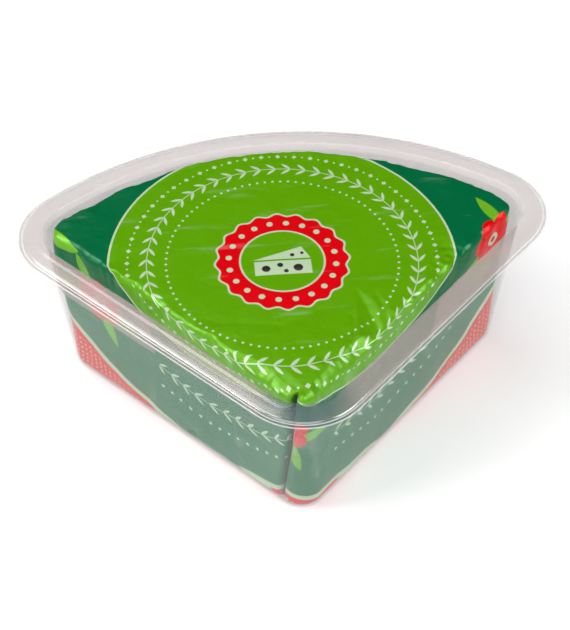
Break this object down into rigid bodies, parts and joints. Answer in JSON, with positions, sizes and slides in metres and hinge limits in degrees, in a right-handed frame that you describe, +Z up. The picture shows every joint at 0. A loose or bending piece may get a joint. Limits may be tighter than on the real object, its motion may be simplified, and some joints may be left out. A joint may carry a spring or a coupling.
{
  "type": "foil-wrapped gorgonzola wedge in a tray",
  "caption": "Wedge of blue cheese wrapped in printed foil, lying in an open clear plastic tray with a flat turned-down rim, both shaped as a slice of a round.",
  "frame": {"origin": "on the plane the tray stands on, under the middle of its rim", "axes": "+Z up, +X along the tray's width, -Y towards the tip of the wedge"},
  "size_m": [0.2386, 0.1808, 0.088],
  "materials": {
    "clear_plastic": "milky clear, glossy",
    "printed_foil": "glossy printed foil, creased"
  },
  "bodies": {
    "root": {"tray": "clear_plastic", "wrapped_wedge": "printed_foil"}
  },
  "joints": []
}
